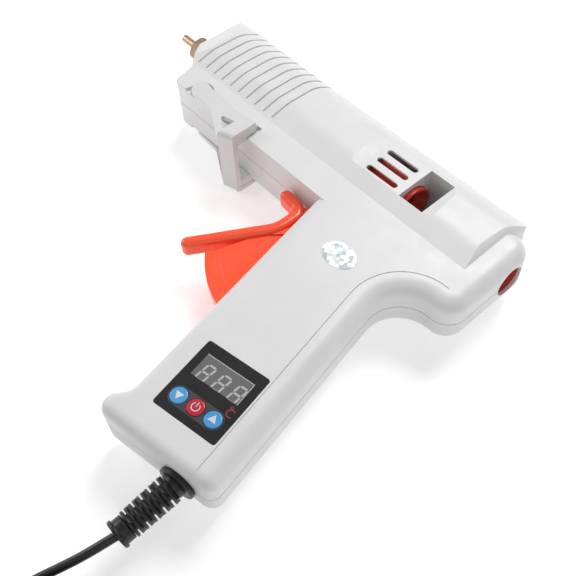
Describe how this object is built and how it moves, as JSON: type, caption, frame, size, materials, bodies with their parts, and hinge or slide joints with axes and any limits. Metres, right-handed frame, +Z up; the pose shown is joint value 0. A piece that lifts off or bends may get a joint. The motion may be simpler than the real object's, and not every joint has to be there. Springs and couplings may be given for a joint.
{
  "type": "glue gun",
  "caption": "Hot-melt glue gun with a trigger-fed stick, flip-out wire stand, digital temperature panel in the grip and a mains lead with a plug.",
  "frame": {"origin": "on the surface that the gun lies on, under the middle of the gun's box without its mains lead", "axes": "+X along the glue bore from the nozzle to the rear, +Y towards the top of the barrel, +Z up, out of the gun's left side"},
  "size_m": [0.2884, 0.2882, 0.0364],
  "materials": {
    "shell_plastic": "satin moulded plastic, warm light grey",
    "nozzle_brass": "turned, heat-tinted",
    "cast_aluminium": "die cast",
    "silicone": "red-brown silicone",
    "steel": "plain",
    "ceramic": "fired ceramic",
    "foil": "rolled",
    "film": "amber insulating film",
    "orange_plastic": "moulded",
    "trigger_plastic": "glossy moulded plastic",
    "panel_black": "gloss black",
    "lens": "smoked",
    "dark_plastic": "moulded",
    "board": "solder mask",
    "button_blue": "gloss",
    "button_red": "gloss",
    "capacitor": "moulded",
    "terminal": "moulded",
    "sticker": "silver film",
    "wire_white": "insulated",
    "wire_clear": "insulated",
    "rubber": "satin black",
    "plated_pins": "nickel plated"
  },
  "bodies": {
    "housing": {"left_shell": "shell_plastic", "right_shell": "shell_plastic", "nozzle": "nozzle_brass", "melt_chamber": "cast_aluminium", "heater": "ceramic", "electrodes": "foil", "heater_film": "film", "thermistor": "ceramic", "inlet_sleeve": "silicone", "sleeve_clamp": "steel", "stick_guide": "orange_plastic", "trigger_pin": "steel", "return_spring": "steel", "check_spring": "steel", "panel_overlay": "panel_black", "display_lens": "lens", "led_display": "dark_plastic", "circuit_board": "board", "tact_switches": "dark_plastic", "power_switch": "dark_plastic", "film_capacitor": "capacitor", "controller_chip": "dark_plastic", "terminal_block": "terminal", "board_screws": "steel", "inspection_sticker": "sticker", "heater_leads": "wire_white", "sensor_leads": "wire_clear", "mains_wires": "wire_white", "strain_relief": "rubber", "lead_stub": "rubber", "cord_clamp": "dark_plastic", "clamp_screws": "steel", "power_cord": "rubber", "plug_tail": "rubber", "cord_coil": "rubber", "cord_tie": "rubber", "plug_body": "rubber", "plug_pins": "plated_pins", "shell_screws": "steel"},
    "trigger": {"trigger": "trigger_plastic"},
    "carriage": {"feed_carriage": "orange_plastic", "jaw_pin": "steel"},
    "jaw": {"gripper_jaw": "steel"},
    "down_button": {"down_button": "button_blue"},
    "power_button": {"power_button": "button_red"},
    "up_button": {"up_button": "button_blue"},
    "stand": {"stand": "steel"},
    "check_ball": {"check_ball": "steel"}
  },
  "joints": [
    {"name": "trigger_hinge", "type": "hinge", "parent": "housing", "child": "trigger", "pos_m": [0.0497, 0.0185, 0.0182], "axis": [0, 0, 1], "range_deg": [0, 25], "stiffness_Nm_per_rad": 0.25, "springref_deg": -14.32},
    {"name": "carriage_slide", "type": "slide", "parent": "housing", "child": "carriage", "axis": [-1, 0, 0], "range_m": [0, 0.0126], "deforming": ["return_spring"]},
    {"name": "jaw_hinge", "type": "hinge", "parent": "carriage", "child": "jaw", "pos_m": [0.0467, 0.0568, 0.0182], "axis": [0, 0, 1], "range_deg": [-6, 0], "stiffness_Nm_per_rad": 0.002, "springref_deg": 2.86},
    {"name": "down_press", "type": "slide", "parent": "housing", "child": "down_button", "axis": [0, 0, -1], "range_m": [0, 0.00035], "stiffness_N_per_m": 4000, "springref_m": -0.0001},
    {"name": "power_press", "type": "slide", "parent": "housing", "child": "power_button", "axis": [0, 0, -1], "range_m": [0, 0.00035], "stiffness_N_per_m": 4000, "springref_m": -0.0001},
    {"name": "up_press", "type": "slide", "parent": "housing", "child": "up_button", "axis": [0, 0, -1], "range_m": [0, 0.00035], "stiffness_N_per_m": 4000, "springref_m": -0.0001},
    {"name": "stand_hinge", "type": "hinge", "parent": "housing", "child": "stand", "pos_m": [-0.058, 0.0385, 0.0182], "axis": [0, 0, 1], "range_deg": [-70, 0]},
    {"name": "valve_slide", "type": "slide", "parent": "housing", "child": "check_ball", "axis": [-1, 0, 0], "range_m": [0, 0.0008], "stiffness_N_per_m": 200, "springref_m": -0.0005, "deforming": ["check_spring"]}
  ],
  "couplings": [
    {"joint": "carriage_slide", "follows": "trigger_hinge", "m_per_rad": 0.02857}
  ]
}
